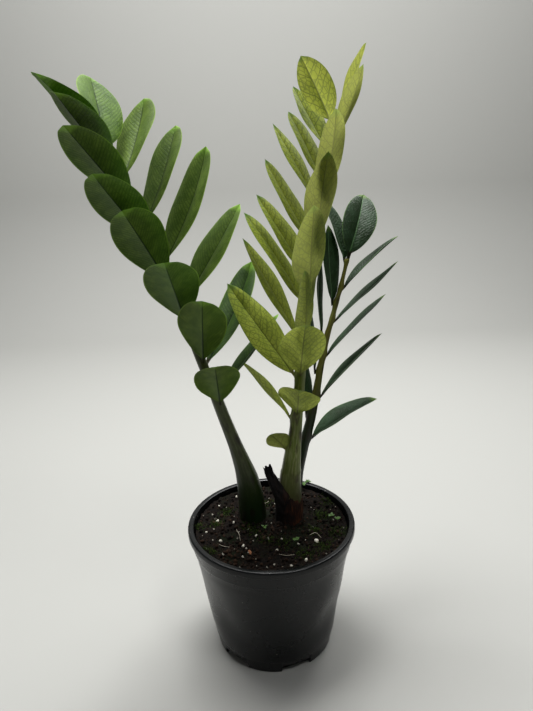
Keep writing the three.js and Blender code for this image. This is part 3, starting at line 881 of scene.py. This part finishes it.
def makePeat(look):
    rings = look["rings"]
    profile = [(look["radius"] * (i / rings) ** 0.8, look["top"]) for i in range(rings + 1)] + look["side"]
    bm = turned([(r * mm, z * mm) for r, z in profile], look["steps"])
    for vert in bm.verts:
        if vert.co.z > look["top"] * mm - 1e-6:
            vert.co.z = soilHeight(vert.co.x, vert.co.y)
    addPiece("peat_plug", bm, makePeatMaterial(look), "soil", sharp=3.0)


makePeat(peatLook)
print("peat made")


litterLook = {
    "crumbs": 2200, "crumbSize": (0.45 * mm, 1.9 * mm), "brownCorner": (-24, -34, 13),
    # bark chips: the first few are meant for one heap, and the next for the rim, in millimetres
    "chips": 44, "chipSize": (1.2 * mm, 3.2 * mm), "chipHeap": (30, 12, 7), "rimChip": (51, 11),
    "mossBlades": 210, "mossLength": (1.2 * mm, 3.0 * mm), "mossWidth": 0.3 * mm,
    # moss tufts: x, y and radius in millimetres
    "moss": [(-53, 0, 4), (-17, 1, 6), (-12, -4, 5), (46, -11, 7), (36, -25, 8), (46, 28, 7),
             (43, 48, 5), (-33, 21, 6), (-44, -29, 6), (30, -8, 5), (8, -20, 7), (-4, -15, 6),
             (22, -33, 6), (-40, 6, 5), (38, 12, 6), (-2, 30, 6)],
    # perlite grains, placed one by one: x, y and radius in millimetres
    "perlite": [(-40, 10, 1.3), (-28, 5, 1.2), (-20, -21, 1.4), (-30, -27, 1.3), (-11, -12, 1.3),
                (31, -19, 1.7), (22, -40, 1.3), (7, -16, 1.1), (-27, 41, 1.1), (-40, 27, 1.0),
                (-23, 29, 1.1), (-33, -30, 1.1), (3, -28, 1.2), (12, -44, 1.1), (-20, -33, 1.0),
                (18, -23, 1.0), (-47, -5, 1.0), (-36, -15, 1.2)],
    "perliteMore": 70,
    # seedlings: x, y and height in millimetres, and number of leaves
    "seedlings": [(30.6, 49, 5, 6), (44.2, 2.8, 6, 6), (48, 0, 4, 4), (16, -24, 7, 5), (-6, -6, 5, 3),
                  (26, 46, 5, 5)],
    # root hairs: x, y and height over the peat in millimetres
    "rootHairs": [[(-25.5, -2, 1), (-24.5, -7, 2.2), (-23, -11, 2), (-22, -16, 0.8)],
                  [(4, -33, 1), (9, -35, 1.8), (15, -34, 0.8)],
                  [(-38, -18, 0.8), (-34, -22, 1.8), (-29, -22, 0.6)],
                  [(26, -14, 0.8), (31, -13, 1.9), (35, -16, 0.7)],
                  [(-6, 18, 1), (-4, 21, 4), (-1, 23, 6)]],
    # what each is made of, its darkest and lightest colour, roughness, mottle in millimetres and gloss
    "peat_crumbs": ("peat crumbs", "#070504", "#33241a", 0.9, 1.0, 0.12),
    "bark_chips": ("shredded bark", "#2a140c", "#8a5a3c", 0.8, 1.0, 0.3),
    "perlite_grains": ("expanded perlite", "#5a5448", "#d4d0c2", 0.9, 0.8, 0.3),
    "moss_tufts": ("living moss", "#0b1403", "#384c12", 0.8, 3, 0.15),
    "seedlings_leafy": ("seedling leaf", "#16280c", "#456628", 0.45, 2, 0.3),
    "root_hairs": ("dry root hair", "#5a5040", "#b8b2a0", 0.7, 2, 0.3),
}


def newGrains():
    bm = bmesh.new()
    return bm, bm.verts.layers.float.new("grainTone")


def makeMany(count, addOne, batch=90):
    # small shapes are built a batch at a time, because each operator walks the whole mesh
    everything = bmesh.new()
    part = bpy.data.meshes.new("batch")
    for start in range(0, count, batch):
        bm, tone = newGrains()
        for index in range(start, min(count, start + batch)):
            addOne(bm, tone, index)
        bm.to_mesh(part)
        bm.free()
        everything.from_mesh(part)
    bpy.data.meshes.remove(part)
    return everything


def thread(radius):
    return lambda part, *_: radius if 0 < part < 0.999 else 0.0


def paintVerts(verts, tone, shade):
    for vert in verts:
        vert[tone] = shade


def moveTo(x, y, z):
    return Matrix.Translation((x, y, z))


def turnBy(*angles):
    return Euler(angles).to_matrix().to_4x4()


def lump(bm, spot, size, dice, subdivisions=1, flat=0.75, rough=0.25):
    # one irregular grain
    turn = turnBy(*(dice.uniform(0, 6.3) for _ in range(3)))
    shape = Matrix.Diagonal((1, dice.uniform(0.6, 1), dice.uniform(flat - 0.2, flat + 0.2), 1))
    verts = bmesh.ops.create_icosphere(bm, subdivisions=subdivisions, radius=size)["verts"]
    shift = dice.uniform(0, 90)
    for vert in verts:
        vert.co *= 1 + rough * noise.noise(vert.co / size * 1.3 + Vector((shift, 0, 0))) * 2
    bmesh.ops.transform(bm, matrix=moveTo(*spot) @ turn @ shape, verts=verts)
    return verts


def onSoil(dice, radius=53 * mm):
    # a random place on the peat, clear of the stems
    while True:
        x, y = dice.uniform(-radius, radius), dice.uniform(-radius, radius)
        clear = all(hypot(x - path[1].x, y - path[1].y) > radii[1] + mm
                    for path, radii in stems.values())
        if hypot(x, y) < radius and clear:
            return x, y


def makeGrainMaterial(name, low, high, roughness, size, level):
    # each grain's own shade between two colours, mottled
    material, add = newMaterial(name)
    tone = add("Attribute", {"attribute_name": "grainTone"}).outputs["Fac"]
    spot = add("TexCoord").outputs["Object"]
    grain = add("TexNoise", None, {"Vector": spot, "Scale": 1 / (size * mm), "Detail": 3.0})
    shade = add("Math", multiplyAdd, {0: grain, 1: 0.4, 2: tone})
    shade = add("MapRange", None, {"Value": shade, "From Min": 0.15, "From Max": 1.25})
    colour = add("Mix", colourMix, {"Factor": shade, "A": low, "B": high})
    bump = add("Bump", None, {"Strength": 0.6, "Distance": 0.2 * mm, "Height": grain})
    body = add("BsdfPrincipled", None, {"Base Color": colour, "Roughness": roughness,
                                        "Specular IOR Level": level, "Normal": bump})
    add("OutputMaterial", None, {"Surface": body})
    return material


def makeLitter(look):
    dice = random.Random(11)

    def addCrumb(bm, tone, index):
        x, y = onSoil(dice)
        size = blend(*look["crumbSize"], dice.random() ** 3)
        cx, cy, reach = look["brownCorner"]
        brown = exp(-(hypot(x / mm - cx, y / mm - cy) / reach) ** 2)
        shade = dice.random() ** 3 * 0.8 + brown * 0.5
        spot = (x, y, soilHeight(x, y) + size * dice.uniform(-0.2, 0.5))
        paintVerts(lump(bm, spot, size, dice), tone, shade)

    def addLitter(name, bm, skin=None, sharp=3.0):
        addPiece(name, bm, makeGrainMaterial(*look[skin or name]), sharp=sharp)

    addLitter("peat_crumbs", makeMany(look["crumbs"], addCrumb))

    bm, tone = newGrains()
    heapX, heapY, heaped = look["chipHeap"]
    for i in range(look["chips"]):
        if i < heaped:
            x, y = heapX * mm + dice.gauss(0, 2.5) * mm, heapY * mm + dice.gauss(0, 2.5) * mm
        else:
            x, y = onSoil(dice, 50 * mm)
        if i == heaped:
            x, y = (side * mm for side in look["rimChip"])
            size = look["chipSize"][1]
        else:
            size = blend(*look["chipSize"], dice.random())
        turn = turnBy(dice.uniform(-0.4, 0.4), dice.uniform(-0.4, 0.4), dice.uniform(0, 6.3))
        shape = Matrix.Diagonal((size * 2, size, size * 0.35, 1))
        known = set(bm.verts)
        bmesh.ops.create_cube(bm, size=1)
        edges = [e for e in bm.edges if e.verts[0] not in known]
        bmesh.ops.subdivide_edges(bm, edges=edges, cuts=2, use_grid_fill=True)
        # subdividing renews the vertices, so the earlier chips count as new here and end inside the last one
        verts = [v for v in bm.verts if v not in known]
        shift = Vector((dice.uniform(0, 90), 0, 0))
        for vert in verts:
            vert.co *= 1 - 0.22 * vert.co.length_squared
            vert.co += noise.noise_vector(vert.co * 2.2 + shift) * 0.16
        paintVerts(verts, tone, 0.2 + 0.8 * shift.x / 90)
        spot = moveTo(x, y, soilHeight(x, y) + size * 0.15)
        bmesh.ops.transform(bm, matrix=spot @ turn @ shape, verts=verts)
    addLitter("bark_chips", bm, sharp=0.7)

    bm, tone = newGrains()
    grains = [(x * mm, y * mm, size * mm) for x, y, size in look["perlite"]]
    grains += [(*onSoil(dice), dice.uniform(0.35, 0.8) * mm) for _ in range(look["perliteMore"])]
    for x, y, size in grains:
        verts = lump(bm, (x, y, soilHeight(x, y) + size * 0.4), size, dice, 2, 0.8, 0.22)
        paintVerts(verts, tone, size / (1.7 * mm))
    # Expanded volcanic glass: chalky white foam, stained by the peat
    addLitter("perlite_grains", bm)

    def addMoss(bm, tone, index):
        cx, cy, radius = look["moss"][index % len(look["moss"])]
        x, y = (cx + dice.gauss(0, radius * 0.5)) * mm, (cy + dice.gauss(0, radius * 0.5)) * mm
        if hypot(x, y) > 54 * mm:
            return
        length = dice.uniform(*look["mossLength"])
        lean = turnBy(dice.gauss(0, 0.6), dice.gauss(0, 0.6), dice.uniform(0, 6.3))
        spot = moveTo(x, y, soilHeight(x, y) - 0.3 * mm) @ lean @ moveTo(0, 0, length / 2)
        verts = bmesh.ops.create_cone(bm, segments=4, radius1=look["mossWidth"], radius2=0.02 * mm,
                                      depth=length, cap_ends=True, matrix=spot)["verts"]
        paintVerts(verts, tone, dice.random() ** 1.5)

    addLitter("moss_tufts", makeMany(look["mossBlades"] * len(look["moss"]), addMoss))

    bm, tone = newGrains()
    for x, y, height, count in look["seedlings"]:
        foot = Vector((x * mm, y * mm, soilHeight(x * mm, y * mm) - 0.5 * mm))
        crown = foot + Vector((dice.uniform(-1, 1), dice.uniform(-1, 1), height)) * mm
        path = [blend(foot, crown, i / 6) + Vector((sin(i), 0, 0)) * 0.15 * mm for i in range(7)]
        paintVerts(addTube(bm, path, 6, thread(0.22 * mm)), tone, 0.3)
        for k in range(count):
            turn = turnBy(0, dice.uniform(-0.7, -0.1), k * 2.4 + dice.uniform(0, 0.5))
            shape = moveTo(1.3 * mm, 0, 0) @ Matrix.Diagonal((1.3, 0.95, 0.16, 1))
            verts = bmesh.ops.create_icosphere(bm, subdivisions=2, radius=dice.uniform(0.8, 1.15) * mm,
                                               matrix=Matrix.Translation(crown) @ turn @ shape)["verts"]
            for vert in verts:
                vert[tone] = dice.uniform(0.6, 0.9)
    addLitter("seedlings", bm, "seedlings_leafy", 0.9)

    bm, tone = newGrains()
    for points in look["rootHairs"]:
        path = [Vector((x * mm, y * mm, soilHeight(x * mm, y * mm) + lift * mm)) for x, y, lift in points]
        path = [curveAt(path, i / 6) for i in range(6 * len(path) - 5)]
        paintVerts(addTube(bm, path, 6, thread(0.16 * mm)), tone, 0.6)
    addLitter("root_hairs", bm, sharp=0.9)


makeLitter(litterLook)
print("crumbs, chips, perlite, moss and seedlings made")
